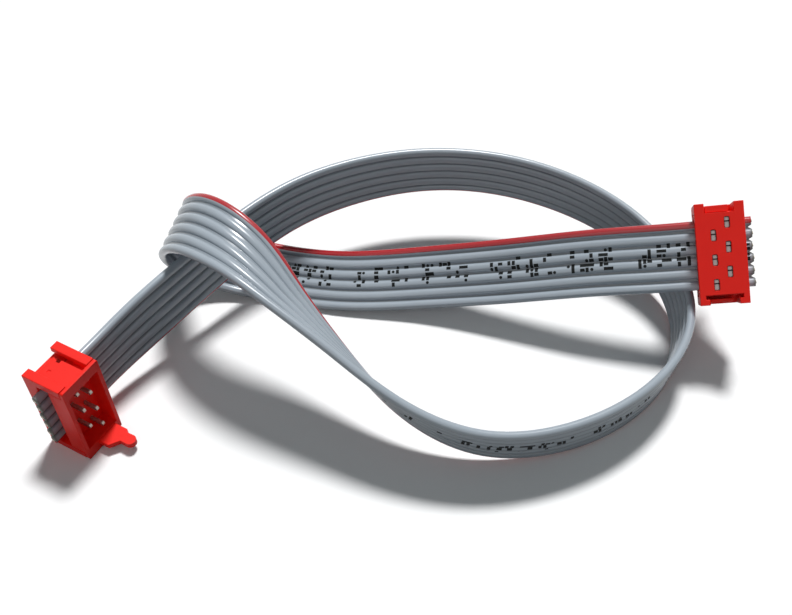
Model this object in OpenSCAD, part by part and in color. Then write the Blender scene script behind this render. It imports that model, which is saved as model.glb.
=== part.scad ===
// Six-way ribbon cable with an insulation-displacement connector crimped on each end.
// It lies in a loose loop on a flat surface. Connector A stands on its lower end, and the ribbon
// loops out, round and back, folds over itself above its first stretch, passes under that stretch
// and ends in connector B, which the ribbon's own stiffness holds up.
// A connector's own axes: x along the ribbon, y along the row of contacts (the striped edge is at
// -y), z the way the connector plugs in. Its origin is the middle of the ribbon inside it.

/* [Ribbon] */
// Spacing of the conductors
pitch = 1.27; // [1.1:0.01:1.55]
// Diameter over the insulation of one conductor
wire_d = 0.9; // [0.75:0.01:1.1]
// Thickness of the web between two conductors
web_t = 0.22; // [0.15:0.01:0.35]
// Diameter of the stranded copper conductor
conductor_d = 0.4; // [0.3:0.01:0.5]
// Length of ribbon left past a connector on its cut side
stub = 0.85; // [0.5:0.05:2]

/* [Connector] */
// Length past the ribbon's edge at each end, along the row of contacts
end_room = 1.625; // [1.5:0.025:3]
// Width along the ribbon
conn_w = 4.9; // [4.4:0.1:6]
// Height of the mating rim above the middle of the ribbon
rim_z = 3.4; // [3:0.1:4.5]
// Depth of the cover's back below the middle of the ribbon
back_z = 1.7; // [1.4:0.1:2.4]
// Thickness of the mating cavity's side walls
side_wall = 0.45; // [0.35:0.05:0.7]
// Thickness of the rim at each end of the cavity
end_wall = 1.3; // [1.1:0.1:1.8]
// Height of the side walls, down from the rim
wall_h = 2.1; // [1.7:0.1:2.2]
// Depth of the mating cavity
cavity_depth = 1.9; // [1.4:0.1:2]

/* [Cover] */
// Width of each corner rail, along the ribbon
rail_w = 1.0; // [0.8:0.05:1.2]
// Thickness of each corner rail, along the row
rail_t = 0.85; // [0.7:0.05:1]
// Width of a test slot in the cover, along the ribbon
slot_w = 0.55; // [0.4:0.05:0.6]
// Length of a test slot in the cover, along the row
slot_l = 1.2; // [1.05:0.05:1.3]

/* [Contacts] */
// Distance between the two rows of contacts
row_gap = 1.4; // [1.2:0.05:1.7]
// Thickness of the contact strip
strip_t = 0.3; // [0.2:0.02:0.34]
// Width of the fork that grips a conductor
fork_w = 1.0; // [0.9:0.02:1.1]
// Width of the mating pin
pin_w = 0.5; // [0.4:0.02:0.6]
// Depth of the pin's tip below the rim
pin_drop = 0.25; // [0.15:0.05:0.8]

/* [Polarising tongue] */
// Width of the tongue
tongue_w = 2.5; // [2:0.1:3]
// Thickness of the tongue
tongue_t = 0.6; // [0.4:0.05:0.8]
// Reach of the tongue past the rim
tongue_reach = 1.9; // [1:0.1:2.5]
// Width of the peg on the tongue's tip
peg_w = 1.2; // [0.9:0.05:1.5]
// Reach of the peg past the tongue
peg_reach = 1.4; // [0.8:0.1:2]

/* [Hidden] */
WAYS = 6;
$fn = 32;

clearance = 0.02;          // between a moulding and what lies in it
bevel = 0.15;              // of the mouldings' long corners
groove = 0.1;              // line between the rim and the foot of a rail or a finger
groove_depth = 0.15;       // of that line in a finger
rim_t = 0.4;               // thickness of the flange round the rim's ends
undercut = 0.15;           // the seat block's side, in from the cavity wall's inner face
notch = 0.9;               // a latch finger's end, in from the cover's back, at the plain end
low_notch = 0.3;           // the same at the striped end
finger_t = 0.35;           // thickness of the latch finger at the plain end
finger_inset = 0.25;       // a finger's outer face, in from the rails' outer faces
finger_neck = 0.4;         // a finger's neck, in from the side walls' lower edges
slit = 0.06;               // gap between a finger and what stands beside it
side_gap = 0.55;           // gap between a finger and the rail on its +x side
hook = 0.3;                // width and height of a latch mark
hook_depth = 0.12;         // of a latch mark
hook_inset = 0.7;          // a latch mark, in from the finger's end
lap = 0.2;                 // how far one block runs into another of the same piece
plate_inset = 0.15;        // the cover plate's end, in from the seat block's end
rail_lap = 0.4;            // how far a rail's root runs in over the plate
rail_root = 0.6;           // width of a rail's root at the plain end, beside the pocket
tongue_inset = 0.9;        // the tongue's middle, in from the striped end
tongue_shift = 0.5;        // the tongue's middle, along the ribbon
tongue_bevel = 0.3;        // of the tongue's outer corner
tongue_slope = 0.7;        // of its other corner
peg_shift = 0.35;          // the peg's middle, from the tongue's
shoulder_cover = 0.4;      // housing over a contact's shoulder, under the cavity floor
tip_inset = 0.25;          // a fork's tips, in from the cover's back
fork_bevel = [0.12, 0.2];  // of a fork's outer corners
lead_in = [0.12, 0.3];     // of the fork's slot
neck = 0.15;               // solid part of a fork, over the middle of the ribbon

// How connector A and connector B lie: the ribbon's direction and a way towards its plain edge.
ribbon_w = (WAYS - 1) * pitch + wire_d;
conn_l = ribbon_w + 2 * end_room;
along_a = unit([0.49, 0.87, 0.05]);
up_a = square_to([0, 0, 1], along_a);
middle_a = [-33.5, -9, conn_w / 2 * along_a.z + conn_l / 2 * up_a.z];
along_b = unit([0.96, -0.12, 0.22]);
up_b = square_to([0.09, -0.7, -0.71], along_b);
middle_b = [32.8, 4.9, 12];

// The route between them. Each row is a point x, y, z that pulls the middle of the ribbon towards
// it, then the direction across the ribbon there, from the striped edge to the plain one.
route = [
    [-27, 1, 6.6, -0.1, 0, 1],
    [-22.5, 6.5, 7.6, -0.1, -0.05, 1],
    [-17.5, 12.5, 8.5, -0.1, -0.1, 1],
    [-11.5, 18.5, 9, -0.05, -0.1, 1],
    [-1.5, 22.5, 9.5, -0.05, -0.2, 1],
    [8, 23, 9.5, 0, -0.25, 1],
    [17.5, 21, 8.5, 0, -0.25, 1],
    [26.5, 16, 6.5, -0.05, -0.3, 1],
    [30.8, 7.5, 4.5, 0, -0.25, 1],
    [29.8, -1, 3.6, 0.05, -0.25, 1],
    [24, -8.5, 3.6, 0.05, -0.25, 1],
    [16, -13, 3.6, 0.1, -0.3, 1],
    [7, -14.5, 4, 0.1, -0.4, 0.9],
    [-1, -11.5, 6.5, 0.05, -0.55, 0.85],
    [-7, -6.5, 10, -0.1, -0.7, 0.7],
    [-12, -2.5, 13, -0.35, -0.8, 0.5],
    [-16, 1, 16, -0.55, -0.8, 0.05],
    [-21.5, 5, 16.5, -0.5, -0.8, -0.4],
    [-24.5, 8.5, 13, -0.4, -0.8, -0.5],
    [-26, 12.5, 8, -0.3, -0.8, -0.5],
    [-22.5, 14, 3, -0.25, -0.85, -0.45],
    [-15, 13, 1.6, -0.2, -0.9, -0.38],
    [-7, 10.8, 2.2, -0.15, -0.85, -0.45],
    [1.5, 10.5, 3.3, -0.1, -0.8, -0.55],
    [11, 8.5, 6.1, -0.05, -0.75, -0.65],
    [19.5, 6.7, 9.1, 0.05, -0.75, -0.65]
];
lead = 4;                  // spacing of the pulling points where the ribbon leaves a connector
exit_gap = 0.15;           // straight stretch outside a connector's face
rings_per_span = 2;

function unit(v) = v / norm(v);
function square_to(v, along) = unit(v - (v * along) * along);

// Each pulling row as [point, direction across]. The first and last three keep the ribbon straight
// where it meets a connector's face.
exit_x = conn_w / 2 + exit_gap;
pulls = concat(
    [for (k = [-1:1]) [middle_a + (exit_x + k * lead) * along_a, up_a]],
    [for (row = route) [[row[0], row[1], row[2]], unit([row[3], row[4], row[5]])]],
    [for (k = [1:-1:-1]) [middle_b - (exit_x + k * lead) * along_b, up_b]]
);

// Uniform cubic B-spline through four neighbours, and its direction.
function blend(a, b, c, d, t) =
    (pow(1 - t, 3) * a + (3 * pow(t, 3) - 6 * t * t + 4) * b
     + (3 * t + 3 * t * t - 3 * pow(t, 3) + 1) * c + pow(t, 3) * d) / 6;
function slope(a, b, c, d, t) =
    (-pow(1 - t, 2) * a + (3 * t * t - 4 * t) * b + (1 + 2 * t - 3 * t * t) * c + t * t * d) / 2;

// A ring is [middle, direction across, direction out of the plain side, which the connectors
// plug towards].
function ring(middle, across, along) =
    let (y = square_to(across, unit(along))) [middle, y, cross(unit(along), y)];
function span_ring(i, t) =
    let (p = [for (k = [0:3]) pulls[i + k][0]], w = [for (k = [0:3]) pulls[i + k][1]])
    ring(blend(p[0], p[1], p[2], p[3], t), blend(w[0], w[1], w[2], w[3], t),
         slope(p[0], p[1], p[2], p[3], t));
spans = len(pulls) - 3;
end_x = conn_w / 2 + stub;
rings = concat(
    [ring(middle_a - end_x * along_a, up_a, along_a)],
    [for (i = [0:spans - 1], s = [0:rings_per_span - 1]) span_ring(i, s / rings_per_span)],
    [span_ring(spans - 1, 1), ring(middle_b + end_x * along_b, up_b, along_b)]
);

// Section of the jacket, in [across, out] pairs: a row of flattened crests over thin webs. Each
// cell goes round one conductor. A seat for the ribbon has the same outline, grown all round.
function wire_y(k) = (k - (WAYS + 1) / 2) * pitch;
crest = wire_d / 2;
crest_half = crest * tan(30);
function cell(k, grow = 0) =
    let (y = wire_y(k), z = crest + grow, half = crest_half + grow, w = web_t / 2 + grow,
         left = k == 1 ? y - crest - grow : y - pitch / 2,
         right = k == WAYS ? y + crest + grow : y + pitch / 2)
    [[right, w], [y + half, z], [y - half, z], [left, w],
     [left, -w], [y - half, -z], [y + half, -z], [right, -w]];
function outline(grow) = concat(
    [for (k = [1:WAYS], i = [3, 2, 1]) cell(k, grow)[i]],
    [cell(WAYS, grow)[0], cell(WAYS, grow)[7]],
    [for (k = [WAYS:-1:1], i = [6, 5, 4]) cell(k, grow)[i]]);
function hexagon(k, d) = [for (a = [0:60:300]) [wire_y(k) + d / 2 * cos(a), d / 2 * sin(a)]];

function place(r, q) = r[0] + q[0] * r[1] + q[1] * r[2];

module swept_bar(section) {
    n = len(section);
    last = len(rings) - 1;
    polyhedron(
        points = [for (r = rings, q = section) place(r, q)],
        faces = concat(
            [for (j = [0:last - 1], i = [0:n - 1])
                let (a = j * n + i, b = j * n + (i + 1) % n, c = b + n, d = a + n)
                each [[a, d, b], [b, d, c]]],
            [[for (i = [0:n - 1]) i]],
            [[for (i = [n - 1:-1:0]) last * n + i]]));
}

// Each ring of the jacket holds, cell by cell, the eight outline points and the six points of the
// channel that the conductor fills.
module swept_jacket() {
    per_cell = 14;
    m = per_cell * WAYS;
    last = len(rings) - 1;
    ring_points = [for (k = [1:WAYS]) each concat(cell(k), hexagon(k, conductor_d))];
    function at(j, k, i) = j * m + (k - 1) * per_cell + i;
    // Outline edges that lie on the skin, as [cell, from, to].
    skin = concat(
        [for (k = [1:WAYS]) each [[k, 0, 1], [k, 1, 2], [k, 2, 3], [k, 4, 5], [k, 5, 6], [k, 6, 7]]],
        [[1, 3, 4], [WAYS, 7, 0]]);
    // Neighbouring cells meet at the same two points, and the one with the higher number owns them.
    function same(k, i) = (i == 0 && k < WAYS) ? [k + 1, 3] : (i == 7 && k < WAYS) ? [k + 1, 4] : [k, i];
    function id(j, k, i) = let (s = same(k, i)) at(j, s[0], s[1]);
    cap = [[8, 0, 1, 9], [9, 1, 2, 10], [10, 2, 3, 11], [11, 3, 4], [11, 4, 5, 12],
           [12, 5, 6, 13], [13, 6, 7, 8], [8, 7, 0]];
    faces = concat(
        [for (j = [0:last - 1], e = skin) each
            let (a = id(j, e[0], e[1]), b = id(j, e[0], e[2]), c = id(j + 1, e[0], e[2]),
                 d = id(j + 1, e[0], e[1])) [[a, d, b], [b, d, c]]],
        [for (j = [0:last - 1], k = [1:WAYS], i = [0:5]) each
            let (a = at(j, k, 8 + i), b = at(j, k, 8 + (i + 1) % 6), c = b + m, d = a + m)
            [[a, b, d], [b, c, d]]],
        [for (k = [1:WAYS], f = cap) [for (i = f) id(0, k, i)]],
        [for (k = [1:WAYS], f = cap) [for (i = [len(f) - 1:-1:0]) id(last, k, f[i])]]);
    polyhedron(points = [for (r = rings, q = ring_points) place(r, q)], faces = faces);
}

// Puts a connector's own axes where the ribbon ends.
module at_end(middle, along, up) {
    out = cross(along, up);
    multmatrix([[along.x, up.x, out.x, middle.x],
                [along.y, up.y, out.y, middle.y],
                [along.z, up.z, out.z, middle.z]]) children();
}
module at_a() at_end(middle_a, along_a, up_a) children();
module at_b() at_end(middle_b, along_b, up_b) children();

module block(x0, x1, y0, y1, z0, z1) {
    translate([x0, y0, z0]) cube([x1 - x0, y1 - y0, z1 - z0]);
}
module bevelled(x, y, z0, z1) {
    translate([0, 0, z0]) linear_extrude(z1 - z0)
        polygon([[x - bevel, -y], [x, -y + bevel], [x, y - bevel], [x - bevel, y],
                 [-x + bevel, y], [-x, y - bevel], [-x, -y + bevel], [-x + bevel, -y]]);
}
// Extrudes a [y, z] outline along x, from x0 to x1.
module across_x(x0, x1) translate([x0, 0, 0]) rotate([90, 0, 90]) linear_extrude(x1 - x0) children();

// The ribbon's seat, right through a connector.
module seat() across_x(-conn_w, conn_w) polygon(outline(clearance));
function contact_x(k) = k % 2 == 1 ? row_gap / 2 : -row_gap / 2;

tooth = web_t / 2 + clearance;
inner_l = conn_l - 2 * rail_t - 2 * clearance;
plate_l = inner_l - 2 * plate_inset;
finger_w = conn_w - 2 * rail_w - 2 * slit;
finger_y = conn_l / 2 - finger_inset;
floor_z = rim_z - cavity_depth;
shoulder_z = floor_z - shoulder_cover;
rim_foot = rim_z - rim_t;
block_w = conn_w - 2 * side_wall - 2 * undercut;

// Mating half: a seat block, the walls of the cavity, a latch finger at each end and the tongue.
module housing() {
    difference() {
        union() {
            block(-block_w / 2, block_w / 2, -inner_l / 2, inner_l / 2, tooth, rim_z);
            bevelled(conn_w / 2, inner_l / 2, rim_z - wall_h, rim_z);
            bevelled(conn_w / 2, conn_l / 2, rim_foot, rim_z);
            finger(-back_z + notch, finger_y - finger_t);
            mirror([0, 1, 0]) finger(-back_z + low_notch, plate_l / 2 + slit);
        }
        seat();
        block(-conn_w / 2 + side_wall, conn_w / 2 - side_wall,
              -conn_l / 2 + end_wall, conn_l / 2 - end_wall, floor_z, rim_z + 1);
        for (k = [1:WAYS]) translate([contact_x(k), wire_y(k), 0]) {
            block(-strip_t / 2 - clearance, strip_t / 2 + clearance,
                  -fork_w / 2 - clearance, fork_w / 2 + clearance, -1, shoulder_z);
            block(-strip_t / 2, strip_t / 2, -pin_w / 2, pin_w / 2, 0, rim_z);
        }
    }
    tongue();
}
// A latch finger stands at the +y end, between two rails. Its end is at end_z.
module finger(end_z, inner_y) {
    neck_z = rim_z - wall_h + finger_neck;
    mark_z = end_z + hook_inset;
    difference() {
        across_x(-finger_w / 2, finger_w / 2 - side_gap + slit)
            polygon([[inner_y, end_z], [finger_y, end_z], [finger_y, rim_foot - groove],
                     [finger_y - groove_depth, rim_foot - groove],
                     [finger_y - groove_depth, rim_foot + rim_t / 2],
                     [inner_l / 2 - lap, rim_foot + rim_t / 2], [inner_l / 2 - lap, neck_z],
                     [inner_y, neck_z]]);
        for (x = [-finger_w / 4, finger_w / 4])
            block(x - hook / 2, x + hook / 2, finger_y - hook_depth, finger_y + 1, mark_z, mark_z + hook);
    }
}
module tongue() {
    tip_z = rim_z + tongue_reach;
    translate([tongue_shift, -conn_l / 2 + tongue_inset + tongue_t / 2, 0]) rotate([90, 0, 0])
        linear_extrude(tongue_t) union() {
            polygon([[-tongue_w / 2, rim_foot], [tongue_w / 2, rim_foot],
                     [tongue_w / 2, tip_z - tongue_bevel], [peg_shift + peg_w / 2, tip_z],
                     [peg_shift - peg_w / 2, tip_z], [-tongue_w / 2, tip_z - tongue_slope]]);
            translate([peg_shift - peg_w / 2, tip_z - lap]) square([peg_w, peg_reach - peg_w / 2 + lap]);
            translate([peg_shift, tip_z + peg_reach - peg_w / 2]) circle(d = peg_w);
        }
}

// Back half: a plate over the ribbon with six test slots and four corner rails. At the plain end a
// pocket between the rails' roots lets the latch finger spring.
module cover() {
    difference() {
        union() {
            bevelled(conn_w / 2, plate_l / 2, -back_z, -tooth);
            for (sx = [0, 1], sy = [0, 1]) mirror([sx, 0, 0]) mirror([0, sy, 0]) rail();
        }
        seat();
        block(-conn_w / 2 + rail_root, conn_w / 2 - rail_root,
              plate_l / 2, finger_y - finger_t, -back_z - 1, 1);
        for (k = [1:WAYS]) translate([contact_x(k), wire_y(k), 0])
            block(-slot_w / 2, slot_w / 2, -slot_l / 2, slot_l / 2, -back_z - 1, 1);
    }
}
module rail() {
    inner = conn_l / 2 - rail_t;
    block(conn_w / 2 - rail_w, conn_w / 2, inner, conn_l / 2, -back_z, rim_foot - groove);
    block(conn_w / 2 - rail_w, conn_w / 2, inner - rail_lap, inner, -back_z, -tooth);
}

// One contact: a fork towards the cover, a shoulder and a pin with a rounded tip.
module contact(k) {
    pin_z = rim_z - pin_drop - pin_w / 2;
    tips_z = -back_z + tip_inset;
    slot_half = conductor_d / 2;
    slot_z = neck + slot_half;
    translate([0, wire_y(k), 0]) across_x(contact_x(k) - strip_t / 2, contact_x(k) + strip_t / 2)
        difference() {
            union() {
                polygon([[-fork_w / 2, shoulder_z], [-fork_w / 2, tips_z + fork_bevel[1]],
                         [-fork_w / 2 + fork_bevel[0], tips_z], [fork_w / 2 - fork_bevel[0], tips_z],
                         [fork_w / 2, tips_z + fork_bevel[1]], [fork_w / 2, shoulder_z]]);
                translate([-pin_w / 2, shoulder_z - lap / 2])
                    square([pin_w, pin_z - shoulder_z + lap / 2]);
                translate([0, pin_z]) circle(d = pin_w);
            }
            translate([-slot_half, tips_z - 1]) square([conductor_d, slot_z - tips_z + 1]);
            translate([0, slot_z]) circle(d = conductor_d);
            polygon([[-slot_half - lead_in[0], tips_z - lap], [-slot_half - lead_in[0], tips_z],
                     [-slot_half, tips_z + lead_in[1]], [slot_half, tips_z + lead_in[1]],
                     [slot_half + lead_in[0], tips_z], [slot_half + lead_in[0], tips_z - lap]]);
        }
}

module ribbon_jacket() color([0.50, 0.53, 0.55]) swept_jacket();
module conductor(k) color([0.78, 0.77, 0.74]) swept_bar(hexagon(k, conductor_d));
module housing_part() color([0.85, 0.12, 0.08]) housing();
module cover_part() color([0.85, 0.12, 0.08]) cover();
module contact_part(k) color([0.72, 0.68, 0.60]) contact(k);

ribbon_jacket();
conductor(1);  // conductor_1
conductor(2);  // conductor_2
conductor(3);  // conductor_3
conductor(4);  // conductor_4
conductor(5);  // conductor_5
conductor(6);  // conductor_6
at_a() housing_part();  // housing_a
at_a() cover_part();  // cover_a
at_a() contact_part(1);  // contact_a1
at_a() contact_part(2);  // contact_a2
at_a() contact_part(3);  // contact_a3
at_a() contact_part(4);  // contact_a4
at_a() contact_part(5);  // contact_a5
at_a() contact_part(6);  // contact_a6
at_b() housing_part();  // housing_b
at_b() cover_part();  // cover_b
at_b() contact_part(1);  // contact_b1
at_b() contact_part(2);  // contact_b2
at_b() contact_part(3);  // contact_b3
at_b() contact_part(4);  // contact_b4
at_b() contact_part(5);  // contact_b5
at_b() contact_part(6);  // contact_b6
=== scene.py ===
import math

import bmesh
import bpy
import numpy as np
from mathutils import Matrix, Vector


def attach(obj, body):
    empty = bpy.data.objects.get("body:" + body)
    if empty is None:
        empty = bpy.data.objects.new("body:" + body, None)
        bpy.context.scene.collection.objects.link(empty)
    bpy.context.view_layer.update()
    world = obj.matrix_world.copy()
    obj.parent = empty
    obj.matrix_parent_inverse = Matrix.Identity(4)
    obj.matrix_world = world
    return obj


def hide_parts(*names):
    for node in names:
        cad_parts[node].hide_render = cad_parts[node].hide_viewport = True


# A short six-way ribbon cable with a red connector on each end, lying in a loose loop on a pale
# surface. The parts follow in the order in which the cable is made up: the ribbon, the strands in
# it, then each connector's cover, housing and contacts.

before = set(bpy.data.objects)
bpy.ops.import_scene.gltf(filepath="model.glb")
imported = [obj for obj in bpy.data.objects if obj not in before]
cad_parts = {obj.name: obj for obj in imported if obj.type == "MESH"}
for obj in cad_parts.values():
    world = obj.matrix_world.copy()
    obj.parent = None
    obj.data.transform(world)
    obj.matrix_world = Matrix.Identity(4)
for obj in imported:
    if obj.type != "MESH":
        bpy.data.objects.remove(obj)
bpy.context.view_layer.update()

# ---- Camera ----
# It looks down at the middle of the loop from the front, at 45 degrees.

camera_data = bpy.data.cameras.new("camera")
camera_data.lens = 44.8
camera_data.sensor_width = 36
camera_data.clip_start = 0.001
camera = bpy.data.objects.new("camera", camera_data)
camera.location = (-0.001, -0.0716, 0.0806)
camera.rotation_euler = (math.radians(45), 0, 0)
bpy.context.scene.collection.objects.link(camera)
bpy.context.scene.camera = camera

# ---- Ribbon ----
# Six wires side by side under soft grey PVC, extruded in one piece with a thin web between
# neighbours. A red stripe is printed along the first wire, and one side carries ink marks.
# It is cut across at both ends, and a connector is crimped on just before each cut.

WIRES = 6
PITCH = 0.00127
WIRE_RADIUS = 0.00045
WEB_HALF = 0.00011
RIDGE_HALF = 0.00053
RIDGE_POINTS = 13
CONNECTOR_WIDTH = 0.0049
CONNECTOR_LENGTH = 0.0105
LEAD = 0.004
EXIT_GAP = 0.00015
JACKET_STEPS = 10

# The power of a ridge's curve: 2 is a circle, and a larger one is fuller.
ROUND = 2
FULLER = 2.15

# At a cut the wires stand apart and are slightly drawn in. The web between them tears back by
# WEB_TEAR, each wire is short by its own trim, and the cut leans by CUT_LEAN from face to face.
CUT_RINGS = 2
CUT_RIDGE_HALF = 0.00045
CUT_SHRINK = 0.88
CUT_ROUND = 0.00005
CUT_LEAN = 0.00011
WEB_TEAR = 0.0004
WIRE_TRIMS = (0.00004, 0, 0.00007, 0.00002, 0.00006, 0.00001)
STUB = 0.00085


def unit(vector):
    vector = np.array(vector, dtype=float)
    return vector / np.linalg.norm(vector)


def square_to(vector, along):
    return unit(vector - np.dot(vector, along) * along)


along_a = unit((0.49, 0.87, 0.05))
up_a = square_to(np.array((0, 0, 1)), along_a)
middle_a = np.array((-0.0335, -0.009, CONNECTOR_WIDTH / 2 * along_a[2] + CONNECTOR_LENGTH / 2 * up_a[2]))
along_b = unit((0.96, -0.12, 0.22))
up_b = square_to(np.array((0.09, -0.7, -0.71)), along_b)
middle_b = np.array((0.0328, 0.0049, 0.012))

# Each row is a point that pulls the middle of the ribbon towards it, then the direction across the
# ribbon there, from the striped edge to the plain one.
route = [
    ((-0.027, 0.001, 0.0066), (-0.1, 0, 1)),
    ((-0.0225, 0.0065, 0.0076), (-0.1, -0.05, 1)),
    ((-0.0175, 0.0125, 0.0085), (-0.1, -0.1, 1)),
    ((-0.0115, 0.0185, 0.009), (-0.05, -0.1, 1)),
    ((-0.0015, 0.0225, 0.0095), (-0.05, -0.2, 1)),
    ((0.008, 0.023, 0.0095), (0, -0.25, 1)),
    ((0.0175, 0.021, 0.0085), (0, -0.25, 1)),
    ((0.0265, 0.016, 0.0065), (-0.05, -0.3, 1)),
    ((0.0308, 0.0075, 0.0045), (0, -0.25, 1)),
    ((0.0298, -0.001, 0.0036), (0.05, -0.25, 1)),
    ((0.024, -0.0085, 0.0036), (0.05, -0.25, 1)),
    ((0.016, -0.013, 0.0036), (0.1, -0.3, 1)),
    ((0.007, -0.0145, 0.004), (0.1, -0.4, 0.9)),
    ((-0.001, -0.0115, 0.0065), (0.05, -0.55, 0.85)),
    ((-0.007, -0.0065, 0.01), (-0.1, -0.7, 0.7)),
    ((-0.012, -0.0025, 0.013), (-0.35, -0.8, 0.5)),
    ((-0.016, 0.001, 0.016), (-0.55, -0.8, 0.05)),
    ((-0.0215, 0.005, 0.0165), (-0.5, -0.8, -0.4)),
    ((-0.0245, 0.0085, 0.013), (-0.4, -0.8, -0.5)),
    ((-0.026, 0.0125, 0.008), (-0.3, -0.8, -0.5)),
    ((-0.0225, 0.014, 0.003), (-0.25, -0.85, -0.45)),
    ((-0.015, 0.013, 0.0016), (-0.2, -0.9, -0.38)),
    ((-0.007, 0.0108, 0.0022), (-0.15, -0.85, -0.45)),
    ((0.0015, 0.0105, 0.0033), (-0.1, -0.8, -0.55)),
    ((0.011, 0.0085, 0.0061), (-0.05, -0.75, -0.65)),
    ((0.0195, 0.0067, 0.0091), (0.05, -0.75, -0.65)),
]

# The ribbon leaves each connector straight, along three pulls in line that are a LEAD apart.
exit_reach = CONNECTOR_WIDTH / 2 + EXIT_GAP
pulls = [(middle_a + (exit_reach + step * LEAD) * along_a, up_a) for step in (-1, 0, 1)]
pulls += [(np.array(point), unit(across)) for point, across in route]
pulls += [(middle_b - (exit_reach + step * LEAD) * along_b, up_b) for step in (1, 0, -1)]


def ring(middle, across, along):
    """The ribbon's middle, its direction across and the way that its plain side faces."""
    heading = unit(along)
    across = square_to(across, heading)
    return middle, across, np.cross(heading, across)


def ring_between(four, t):
    """The ring a share t of the way from the second of four pulls to the third, on a cubic spline
    that the pulls draw towards them."""
    place = np.array([(1 - t) ** 3, 3 * t**3 - 6 * t * t + 4, 3 * t + 3 * t * t - 3 * t**3 + 1, t**3]) / 6
    slope = np.array([-((1 - t) ** 2), 3 * t * t - 4 * t, 1 + 2 * t - 3 * t * t, t * t]) / 2
    points = np.array([point for point, across in four])
    across = np.array([across for point, across in four])
    return ring(place @ points, place @ across, slope @ points)


def lie_of_ribbon(steps):
    """Rings from cut end to cut end, with this many to each stretch between two pulls."""
    end_reach = CONNECTOR_WIDTH / 2 + STUB
    near_ends = (end_reach, end_reach - CUT_ROUND)
    rings = [ring(middle_a - reach * along_a, up_a, along_a) for reach in near_ends]
    for first in range(len(pulls) - 3):
        rings += [ring_between(pulls[first : first + 4], step / steps) for step in range(steps)]
    rings.append(ring_between(pulls[-4:], 1))
    rings += [ring(middle_b + reach * along_b, up_b, along_b) for reach in reversed(near_ends)]
    return rings


def distances(rings):
    """How far each ring lies from the first, along the ribbon."""
    steps = np.linalg.norm(np.diff([middle for middle, across, out in rings], axis=0), axis=1)
    return np.concatenate(([0], np.cumsum(steps)))


def wire_place(wire):
    """How far a wire's middle is from the ribbon's, across it."""
    return (wire - (WIRES - 1) / 2) * PITCH


def ridge(wire, half, power):
    """The upper outline of one wire, from its striped side to its plain one: a round edge on the
    outermost wires, and a curve of this half width down to the web between two wires."""
    points = []
    for share in np.linspace(0, 1, RIDGE_POINTS):
        side = -1 if share < 0.5 else 1
        outer = (wire == 0 and side < 0) or (wire == WIRES - 1 and side > 0)
        width, bend = (WIRE_RADIUS, ROUND) if outer else (half, power)
        foot = 0 if outer else math.asin((WEB_HALF / WIRE_RADIUS) ** (bend / 2))
        turn = foot + (math.pi / 2 - foot) * (1 - abs(2 * share - 1))
        out = WIRE_RADIUS * math.sin(turn) ** (2 / bend)
        points.append((side * width * max(math.cos(turn), 0) ** (2 / bend), out))
    return points


def upper_line(half, power, shrink=1.0):
    """The upper line of the section: a ridge over each wire and a web between neighbours. Shrink
    draws each wire in towards its own middle, as at a cut edge."""
    points = []
    for wire in range(WIRES):
        if wire:
            points.append((wire_place(wire) - PITCH / 2, WEB_HALF * shrink))
        points += [(wire_place(wire) + shrink * y, shrink * z) for y, z in ridge(wire, half, power)]
    return points


rings = lie_of_ribbon(JACKET_STEPS)
ring_count = len(rings)
travel = distances(rings)

# The first two and the last two rings make the cuts.
whole_line = upper_line(RIDGE_HALF, FULLER)
cut_lines = [upper_line(CUT_RIDGE_HALF, ROUND, shrink) for shrink in (CUT_SHRINK, 1)]
lines = cut_lines + [whole_line] * (ring_count - 2 * CUT_RINGS) + cut_lines[::-1]
half_count = len(whole_line)
row = 2 * half_count - 2


def cut_back(place, out):
    """How far a cut falls short at this point of the section: less for a wire than for a web."""
    wire, point = divmod(place + 1, RIDGE_POINTS + 1)
    lean = CUT_LEAN * (0.5 - out / (2 * WIRE_RADIUS))
    return lean + (WIRE_TRIMS[wire] if point else WEB_TEAR)


def into_ribbon(number, count):
    """The way into the ribbon at the rings of each cut, and nothing at the rings between."""
    if number < CUT_RINGS:
        return along_a
    return -along_b if number >= count - CUT_RINGS else np.zeros(3)


corners = []
for number, ((middle, across, out), line) in enumerate(zip(rings, lines)):
    inward = into_ribbon(number, ring_count)
    upper = [(place, y, z) for place, (y, z) in enumerate(line)]
    for place, y, z in upper + [(place, y, -z) for place, y, z in upper[1:-1]]:
        corners.append(middle + y * across + z * out + cut_back(place, z) * inward)


def lower_corner(place):
    """The lower line shares its two end points with the upper one."""
    return place if place in (0, half_count - 1) else half_count + place - 1


faces = []
printed = []
for start in range(0, (ring_count - 1) * row, row):
    for place in range(half_count - 1):
        a, b = start + place, start + place + 1
        faces.append((a, a + row, b + row, b))
        printed.append(0.0)
        a, b = start + lower_corner(place), start + lower_corner(place + 1)
        faces.append((a, b, b + row, a + row))
        printed.append(1.0)
for start, first in ((0, True), ((ring_count - 1) * row, False)):
    for place in range(half_count - 1):
        cap = [place, place + 1, lower_corner(place + 1), lower_corner(place)]
        cap = [start + corner for index, corner in enumerate(cap) if corner not in cap[:index]]
        faces.append(tuple(cap if first else reversed(cap)))
        printed.append(0.0)

jacket_mesh = bpy.data.meshes.new("ribbon")
jacket_mesh.from_pydata([tuple(corner) for corner in corners], [], faces)
across_all = [y for y, z in whole_line] + [y for y, z in whole_line[1:-1]]
ribbon_map = jacket_mesh.uv_layers.new(name="ribbon")
for loop in jacket_mesh.loops:
    place = across_all[loop.vertex_index % row] - across_all[0]
    ribbon_map.data[loop.index].uv = (travel[loop.vertex_index // row], place)
side = jacket_mesh.attributes.new("printed", "FLOAT", "FACE")
side.data.foreach_set("value", printed)
jacket = bpy.data.objects.new("ribbon", jacket_mesh)
bpy.context.scene.collection.objects.link(jacket)


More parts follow.
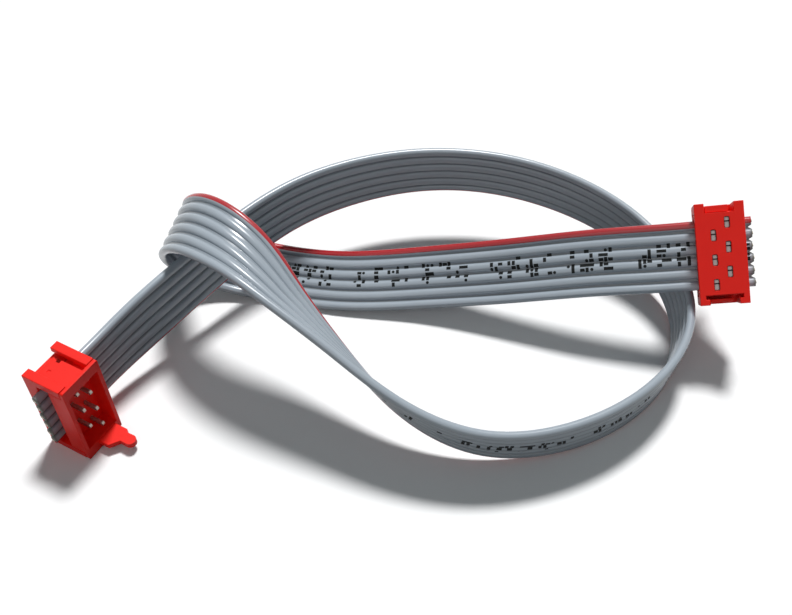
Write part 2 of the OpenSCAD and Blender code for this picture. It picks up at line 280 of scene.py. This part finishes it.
def select_only(piece):
    bpy.ops.object.select_all(action="DESELECT")
    piece.select_set(True)
    bpy.context.view_layer.objects.active = piece


select_only(jacket)
bpy.ops.object.shade_smooth_by_angle(angle=math.radians(38))


class Paint:
    """A socket of a material. Sums on it add Math nodes, and node() adds any other node."""

    def __init__(self, material, socket=None):
        self.material = material
        self.socket = socket

    def node(self, kind, settings=None, inputs=None, output=0):
        """Adds a node, sets it up, feeds its sockets and returns one of its outputs."""
        made = self.material.node_tree.nodes.new(kind)
        for name, value in (settings or {}).items():
            setattr(made, name, value)
        for name, value in (inputs or {}).items():
            self.feed(made.inputs[name], value)
        return Paint(self.material, made.outputs[output])

    def feed(self, socket, value):
        """Links a socket to a painted value, or sets it to a plain one."""
        if isinstance(value, Paint):
            self.material.node_tree.links.new(value.socket, socket)
        else:
            socket.default_value = value

    def maths(self, operation, first, second=0):
        return self.node("ShaderNodeMath", {"operation": operation}, {0: first, 1: second})

    def __add__(self, other):
        return self.maths("ADD", self, other)

    def __sub__(self, other):
        return self.maths("SUBTRACT", self, other)

    def __rsub__(self, other):
        return self.maths("SUBTRACT", other, self)

    def __mul__(self, other):
        return self.maths("MULTIPLY", self, other)

    def __mod__(self, other):
        return self.maths("FLOORED_MODULO", self, other)

    def __lt__(self, other):
        return self.maths("LESS_THAN", self, other)

    def __gt__(self, other):
        return self.maths("GREATER_THAN", self, other)

    def __abs__(self):
        return self.maths("ABSOLUTE", self)

    __radd__ = __add__
    __rmul__ = __mul__

    def whole(self):
        return self.maths("FLOOR", self)

    def above_zero(self):
        return self.maths("MAXIMUM", self)

    def root(self):
        return self.maths("SQRT", self)

    def clamped(self):
        return self.node("ShaderNodeClamp", inputs={"Value": self})

    def grain(self, place, size, detail=2.0):
        """Noise from 0 to 1, with features of about this size in metres."""
        inputs = {"Vector": place, "Scale": 1 / size, "Detail": detail, "Roughness": 0.55}
        return self.node("ShaderNodeTexNoise", inputs=inputs)

    def blend(self, amount, first, second):
        """Goes from the first colour to the second."""
        settings = {"data_type": "RGBA"}
        return self.node("ShaderNodeMix", settings, {0: amount, 6: first, 7: second}, output=2)


def new_paint(name, **surface):
    """A new material, with the plain values of its surface shader set."""
    material = bpy.data.materials.new(name)
    material.use_nodes = True
    shader = material.node_tree.nodes["Principled BSDF"]
    for socket, value in surface.items():
        shader.inputs[socket.replace("_", " ")].default_value = value
    return Paint(material), shader


GREY = (0.40, 0.455, 0.51, 1)
DEEP_GREY = (0.34, 0.39, 0.44, 1)
# The two darkest greys are painted shade: one for the valleys between the wires, one for the cuts.
VALLEY_SHADE_GREY = (0.08, 0.09, 0.10, 1)
CUT_SHADE_GREY = (0.13, 0.135, 0.115, 1)
STRIPE_RED = (0.44, 0.010, 0.017, 1)
INK = (0.006, 0.007, 0.007, 1)

# The ribbon's map runs along it from connector A's cut, and across it from the striped edge. The
# stripe's, marks' and valleys' sizes and places are in millimetres on that map. Numbers that stand
# bare in the sums are weights and have no unit.
MM = 1000
STREAK_LENGTH = 10
STRIPE_LAP = 0.45
STRIPE_PRINTED = 0.31
STRIPE_THINS = 0.47
STRIPE_WIDENS = 0.25
THIN_AT = 108
WIDE_AT = 150
DRIFT_REACH = 36
MARKS_FROM = 15.7
MARK_STEP = 0.5
FIRST_ROW = 2.35
ROW_STEP = 0.5
MARK_ROWS = 5
BLOCK = 4
GROUP = 32
GROUP_GAP = 4
DOT_RADIUS = 0.41
DASH_HALF = 0.45
VALLEY_FROM = 0.44
FOLD_AT = 136
FOLD_REACH = 22
CUT_REACH = 0.35

pvc, pvc_shader = new_paint("grey_pvc")
map_place = pvc.node("ShaderNodeUVMap", {"uv_map": "ribbon"})
along = pvc.node("ShaderNodeSeparateXYZ", inputs={0: map_place}, output=0) * MM
across = pvc.node("ShaderNodeSeparateXYZ", inputs={0: map_place}, output=1) * MM
printed_side = pvc.node("ShaderNodeAttribute", {"attribute_name": "printed"}, output=2)
streak_inputs = {0: along * (1 / MM / STREAK_LENGTH), 1: across * (1 / MM), 2: printed_side}
streak_place = pvc.node("ShaderNodeCombineXYZ", inputs=streak_inputs)
jacket_place = pvc.node("ShaderNodeTexCoord", output=3)
streaks = pvc.grain(streak_place, 0.00012)
waver = pvc.grain(streak_place, 0.0008) - 0.5
cloud = pvc.grain(jacket_place, 0.004)
speckle = pvc.grain(jacket_place, 0.00009)

# The stripe covers most of the first wire's printed side and laps round its edge. It drifts, thin
# over one stretch and wide over the next.
thin = (1 - abs(along - THIN_AT) * (1 / DRIFT_REACH)).clamped()
wide = (1 - abs(along - WIDE_AT) * (1 / DRIFT_REACH)).clamped()
on_print = printed_side * (STRIPE_PRINTED - wide * 0.2)
stripe_edge = STRIPE_LAP + on_print - thin * STRIPE_THINS + wide * STRIPE_WIDENS + waver * 0.06
stripe = ((stripe_edge - across) * 22 + 0.5).clamped()

# Ink marks over the third and fourth wires: blocks of dots, three columns to each and seven blocks
# to a group, some of the dots run together, in no order that means anything. A dot's sizes are in
# steps from mark to mark.
column_place = (along - MARKS_FROM) * (1 / MARK_STEP)
row_place = (across - FIRST_ROW) * (1 / ROW_STEP) + 0.5
column = column_place.whole()
mark_row = row_place.whole()
in_column = column_place - column - 0.5
in_row = (row_place - mark_row - 0.5) * (ROW_STEP / MARK_STEP)
cell = pvc.node("ShaderNodeCombineXYZ", inputs={0: column, 1: mark_row})
chances = pvc.node("ShaderNodeTexWhiteNoise", {"noise_dimensions": "3D"}, {"Vector": cell}, "Color")
chance, dash, tall = [pvc.node("ShaderNodeSeparateColor", inputs={0: chances}, output=n) for n in range(3)]
off_dash = (abs(in_column) - (dash > 0.5) * DASH_HALF).above_zero()
off_tall = (abs(in_row) - (dash < 0.5) * (tall > 0.4) * DASH_HALF).above_zero()
dot = (DOT_RADIUS - (off_dash * off_dash + off_tall * off_tall).root()) * 9
marked = (chance > 0.5) * (row_place > 0) * (row_place < MARK_ROWS)
spaced = (column % BLOCK > 0) * (column % GROUP > GROUP_GAP)
ink = (dot.clamped() * marked * spaced * printed_side * (0.8 + speckle * 0.5)).clamped()

# Painted shade darkens the valleys between the wires, and the cuts are dull and get a painted shade too.
# Over the fold the painted shade in the valleys is much weaker.
off_wire = abs((across + (PITCH / 2 - WIRE_RADIUS) * MM) % (PITCH * MM) - PITCH / 2 * MM)
valley_shade = ((off_wire - VALLEY_FROM) * 6).clamped()
shade_eased_on_fold = (1.4 - abs(along - FOLD_AT) * (1 / FOLD_REACH)).clamped()
half_length = travel[-1] / 2 * MM
# Painted shade: the ribbon darkens over its last CUT_REACH at each cut, which is also made duller.
cut = ((abs(along - half_length) - half_length + CUT_REACH) * (1 / CUT_REACH)).clamped()
plain_grey = pvc.blend((streaks * 0.6 + cloud * 0.5 - 0.1).clamped(), DEEP_GREY, GREY)
# Painted shade: the valleys between the wires are darkened, much less over the fold.
valley_shaded = pvc.blend(valley_shade * (0.75 - shade_eased_on_fold * 0.7), plain_grey, VALLEY_SHADE_GREY)
striped = pvc.blend(stripe, pvc.blend(cut, valley_shaded, CUT_SHADE_GREY), STRIPE_RED)
pvc.feed(pvc_shader.inputs["Base Color"], pvc.blend(ink, striped, INK))
pvc.feed(pvc_shader.inputs["Roughness"], 0.17 + streaks * 0.08 + speckle * 0.04 + ink * 0.4 + cut * 0.4)
# The ink is matt. A black metal has no gloss of its own, so the ink is treated as almost one.
pvc.feed(pvc_shader.inputs["Metallic"], ink * 0.8)
relief = streaks * 0.5 + speckle * 0.5
bump_inputs = {"Height": relief, "Strength": 0.15, "Distance": 0.00002}
pvc.feed(pvc_shader.inputs["Normal"], pvc.node("ShaderNodeBump", inputs=bump_inputs))
jacket_mesh.materials.append(pvc.material)

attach(jacket, "root")
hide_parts("ribbon_jacket")

# ---- Strands ----
# Each wire's conductor is seven fine strands of tinned copper, twisted together. It shows only at
# the two cuts, where it ends all but level with the jacket.

STRAND_RADIUS = 0.000063
STRAND_TURN = 0.009
STRAND_PROUD = 0.00006
STRAND_STEPS = 5
OUTER_STRANDS = 6
BULGE = 0.9


def rosette(turn):
    """The outline of six strands round a seventh, as points across and out of the wire. Each strand
    shows as three points: one straight out, and one turned by BULGE to each side."""
    points = []
    for strand in range(OUTER_STRANDS):
        middle_angle = turn + 2 * math.pi * strand / OUTER_STRANDS
        for angle in (middle_angle - BULGE, middle_angle, middle_angle + BULGE):
            y = STRAND_RADIUS * (2 * math.cos(middle_angle) + math.cos(angle))
            z = STRAND_RADIUS * (2 * math.sin(middle_angle) + math.sin(angle))
            points.append((y, z))
    return points


TIN = (0.36, 0.32, 0.27, 1)

tin, tin_shader = new_paint("tinned_copper", Metallic=1.0, Base_Color=TIN)
tin_grain = tin.grain(tin.node("ShaderNodeTexCoord", output=3), 0.00006)
tin.feed(tin_shader.inputs["Roughness"], 0.3 + tin_grain * 0.3)

strand_rings = lie_of_ribbon(STRAND_STEPS)
strand_travel = distances(strand_rings)
for wire in range(WIRES):
    corners = []
    for number, ((middle, across, out), distance) in enumerate(zip(strand_rings, strand_travel)):
        section = rosette(2 * math.pi * distance / STRAND_TURN)
        trim = CUT_LEAN / 2 + WIRE_TRIMS[wire] - STRAND_PROUD
        middle = middle + trim * into_ribbon(number, len(strand_rings))
        corners += [middle + (wire_place(wire) + y) * across + z * out for y, z in section]
    around = len(section)
    last = (len(strand_rings) - 1) * around
    faces = [tuple(range(around)), tuple(range(last + around - 1, last - 1, -1))]
    for start in range(0, last, around):
        for corner in range(around):
            a, b = start + corner, start + (corner + 1) % around
            faces.append((a, a + around, b + around, b))
    mesh = bpy.data.meshes.new("strands_%d" % (wire + 1))
    mesh.from_pydata([tuple(corner) for corner in corners], [], faces)
    mesh.materials.append(tin.material)
    conductor = bpy.data.objects.new(mesh.name, mesh)
    bpy.context.scene.collection.objects.link(conductor)
    select_only(conductor)
    bpy.ops.object.shade_smooth_by_angle(angle=math.radians(60))
    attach(conductor, "root")
    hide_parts("conductor_%d" % (wire + 1))

# ---- Covers ----
# The back half of each connector, moulded in red glass-filled plastic. Its plate presses the ribbon
# onto the contacts, and four corner rails lock it to the housing. The contacts' tips show in its
# six test slots.

SOFT_EDGE = 0.00006
SLOT_CORNER = 0.00014
SLOT_CORNER_CUTS = 4
SAME_POINT = 0.000001
FLAT_ANGLE = math.radians(1)
SHARP_ANGLE = math.radians(20)
SMOOTH_ANGLE = math.radians(50)


def whole_copy(node, name):
    """A copy of a CAD node with its loose triangles joined into whole flat faces."""
    piece = bpy.data.objects.new(name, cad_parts[node].data.copy())
    bpy.context.scene.collection.objects.link(piece)
    piece.data.materials.clear()
    select_only(piece)
    bpy.ops.mesh.customdata_custom_splitnormals_clear()
    bpy.ops.object.mode_set(mode="EDIT")
    bpy.ops.mesh.select_all(action="SELECT")
    bpy.ops.mesh.remove_doubles(threshold=SAME_POINT)
    bpy.ops.mesh.dissolve_limited(angle_limit=FLAT_ANGLE)
    bpy.ops.object.mode_set(mode="OBJECT")
    return piece


def round_edges(piece, width, wanted, segments=2):
    """Bevels the sharp edges that are wanted."""
    select_only(piece)
    bpy.ops.object.mode_set(mode="EDIT")
    bpy.ops.mesh.select_mode(type="EDGE")
    bpy.ops.mesh.select_all(action="DESELECT")
    mesh = bmesh.from_edit_mesh(piece.data)
    for edge in mesh.edges:
        sharp = edge.is_manifold and edge.calc_face_angle() > SHARP_ANGLE
        edge.select_set(bool(sharp and wanted(edge)))
    bmesh.update_edit_mesh(piece.data)
    bpy.ops.mesh.bevel(offset=width, segments=segments, affect="EDGES", clamp_overlap=False)
    bpy.ops.mesh.select_mode(type="VERT")
    bpy.ops.object.mode_set(mode="OBJECT")


def soften(piece, width):
    """Rounds the piece's outward edges a little, all but the shortest, and keeps its flat faces flat."""
    round_edges(piece, width, lambda edge: edge.is_convex and edge.calc_length() > 4 * width)
    bpy.ops.object.shade_smooth_by_angle(angle=SMOOTH_ANGLE)
    flatten = piece.modifiers.new("flatten", "WEIGHTED_NORMAL")
    flatten.keep_sharp = True
    bpy.ops.object.modifier_apply(modifier=flatten.name)


RED = (0.97, 0.015, 0.006, 1)
DEEP_RED = (0.87, 0.011, 0.005, 1)

red, red_shader = new_paint("red_moulding", Specular_IOR_Level=0.25)
red_place = red.node("ShaderNodeTexCoord", output=3)
fibre = red.grain(red_place, 0.00012, 4)
flow = red.grain(red_place, 0.0018)
cloudy_red = red.blend((fibre * 0.6 + flow * 0.7 - 0.15).clamped(), DEEP_RED, RED)
red.feed(red_shader.inputs["Base Color"], cloudy_red)
red.feed(red_shader.inputs["Roughness"], 0.42 + fibre * 0.14)
red_bump = {"Height": fibre, "Strength": 0.3, "Distance": 0.00002}
red.feed(red_shader.inputs["Normal"], red.node("ShaderNodeBump", inputs=red_bump))

ends = {"a": (middle_a, along_a, up_a), "b": (middle_b, along_b, up_b)}


def in_connector(end, point):
    """A point in a connector's own axes: along the ribbon, along the row, and towards its plug."""
    middle, along, up = ends[end]
    offset = np.array(point) - middle
    return np.array((offset @ along, offset @ up, offset @ np.cross(along, up)))


def from_connector(end, point):
    """The place of a point that is given in a connector's own axes."""
    middle, along, up = ends[end]
    return middle + point[0] * along + point[1] * up + point[2] * np.cross(along, up)


def slot_corner(end, edge):
    """Whether an edge is one of the four corners of a test slot, which run through the plate."""
    first, last = [in_connector(end, corner.co) for corner in edge.verts]
    inside = abs(first[0]) < CONNECTOR_WIDTH / 4 and abs(first[1]) < WIRES * PITCH / 2
    return inside and not edge.is_convex and math.dist(first[:2], last[:2]) < SOFT_EDGE


for end in ends:
    cover = whole_copy("cover_" + end, "back_" + end)
    round_edges(cover, SLOT_CORNER, lambda edge: slot_corner(end, edge), SLOT_CORNER_CUTS)
    soften(cover, SOFT_EDGE)
    cover.data.materials.append(red.material)
    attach(cover, "root")
    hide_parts("cover_" + end)

# ---- Housings ----
# The mating half of each connector, in the same red plastic. It holds the six contacts and has a
# cavity round their pins, a latch finger at each end, and a tongue with a peg that keys it.

for end in ends:
    housing = whole_copy("housing_" + end, "front_" + end)
    soften(housing, SOFT_EDGE)
    housing.data.materials.append(red.material)
    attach(housing, "root")
    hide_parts("housing_" + end)

# ---- Contacts ----
# Six contacts to a connector, stamped from tinned copper alloy strip in two staggered rows. A fork
# cuts through the insulation onto the strands, and a round-tipped pin stands in the cavity.

STRIP_EDGE = 0.00003
ROW_GAP = 0.0014

# A fork's two tips are what lies behind TIPS_FROM. Their inner sides, nearer the wire's middle than
# TIP_INNER, close to a narrow gap that has slipped to one side. Their outer sides move out to
# TIP_REACH, and the strip fills out to TIP_FILL times its thickness.
TIPS_FROM = -0.0008
TIP_INNER = 0.00034
TIP_GAP = 0.0001
TIP_SLIP = -0.00012
TIP_REACH = 0.00056
TIP_FILL = 1.65

STRIP_LIGHT = (0.47, 0.43, 0.39, 1)
STRIP_DARK = (0.30, 0.26, 0.23, 1)
TIP_SHADE_GREY = (0.20, 0.18, 0.175, 1)

metal, metal_shader = new_paint("tinned_strip", Metallic=1.0)
brushed = metal.grain(metal.node("ShaderNodeTexCoord", output=3), 0.00008)
tip_shade = metal.node("ShaderNodeAttribute", {"attribute_name": "tip_shade"}, output=2)
strip_colour = metal.blend(brushed, STRIP_DARK, STRIP_LIGHT)
# Painted shade: a fork's tips, down in the cover's test slots, are darkened.
metal.feed(metal_shader.inputs["Base Color"], metal.blend(tip_shade * 0.9, strip_colour, TIP_SHADE_GREY))
metal.feed(metal_shader.inputs["Roughness"], 0.32 + brushed * 0.2)


def fill_slot(end, wire, contact):
    """Closes up a fork's tips, as they are once the strip has been driven through the ribbon, and
    marks them for a painted shade."""
    strip_place = ROW_GAP / 2 if wire % 2 else -ROW_GAP / 2
    middle = wire_place(wire - 1)
    marks = contact.data.attributes.new("tip_shade", "FLOAT", "POINT")
    for corner in contact.data.vertices:
        x, y, z = in_connector(end, corner.co)
        if z < TIPS_FROM:
            side = math.copysign(1, y - middle)
            inner = abs(y - middle) < TIP_INNER
            tip_place = middle + (TIP_GAP / 2 * side + TIP_SLIP if inner else TIP_REACH * side)
            corner.co = from_connector(end, (strip_place + (x - strip_place) * TIP_FILL, tip_place, z))
            marks.data[corner.index].value = 1


for end in ends:
    for wire in range(1, WIRES + 1):
        contact = whole_copy("contact_%s%d" % (end, wire), "strip_%s%d" % (end, wire))
        fill_slot(end, wire, contact)
        soften(contact, STRIP_EDGE)
        contact.data.materials.append(metal.material)
        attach(contact, "root")
        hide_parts("contact_%s%d" % (end, wire))
        end == "b"

# ---- Floor and light ----
# A plain pale floor under a soft lamp, high behind the cable, with a weak broad one in front and a
# weak sky. The eye and reflections see the floor and the sky as white, but they light little.

FLOOR_SIZE = 4
FLOOR_TONE = (0.2, 0.2, 0.2, 1)
WHITE = (1, 1, 1, 1)
SKY_BLUE = (0.8, 0.95, 1, 1)
SKY_FILL = 0.15

# Each lamp's name, strength and spread, then how far its light leans along x and y for each metre
# that it falls.
LAMPS = [
    ("key", 3.0, 0.2, (-0.1, -0.4)),
    ("fill", 0.38, 0.9, (0.3, 1.3)),
]


def seen_directly(paint):
    """1 on rays from the camera and in gloss or glass, and 0 on the rays that light things."""
    rays = paint.node("ShaderNodeLightPath", output="Is Camera Ray")
    for output in ("Is Glossy Ray", "Is Transmission Ray"):
        rays = rays + paint.node("ShaderNodeLightPath", output=output)
    return rays


bpy.ops.object.select_all(action="DESELECT")
bpy.ops.mesh.primitive_plane_add(size=FLOOR_SIZE)
floor = bpy.context.active_object
floor.name = "floor"
floor_paint, floor_shader = new_paint("pale_floor", Roughness=0.9)
floor_tone = floor_paint.blend(seen_directly(floor_paint), FLOOR_TONE, WHITE)
floor_paint.feed(floor_shader.inputs["Base Color"], floor_tone)
floor.data.materials.append(floor_paint.material)

for name, energy, spread, lean in LAMPS:
    lamp_data = bpy.data.lights.new(name, "SUN")
    lamp_data.energy = energy
    lamp_data.angle = spread
    lamp = bpy.data.objects.new(name, lamp_data)
    lamp.rotation_euler = Vector((*lean, -1)).to_track_quat("-Z", "Y").to_euler()
    bpy.context.scene.collection.objects.link(lamp)

world = bpy.data.worlds.new("sky")
bpy.context.scene.world = world
world.use_nodes = True
sky = Paint(world)
backdrop = world.node_tree.nodes["Background"]
direction = sky.node("ShaderNodeTexCoord")
height = sky.node("ShaderNodeSeparateXYZ", inputs={0: direction}, output="Z").clamped()
seen = seen_directly(sky)
sky.feed(backdrop.inputs["Color"], sky.blend(seen, SKY_BLUE, WHITE))
sky.feed(backdrop.inputs["Strength"], seen + (1 - seen) * height * SKY_FILL)

bpy.context.scene.view_settings.view_transform = "Standard"

tuple(middle_a + exit_reach * along_a)
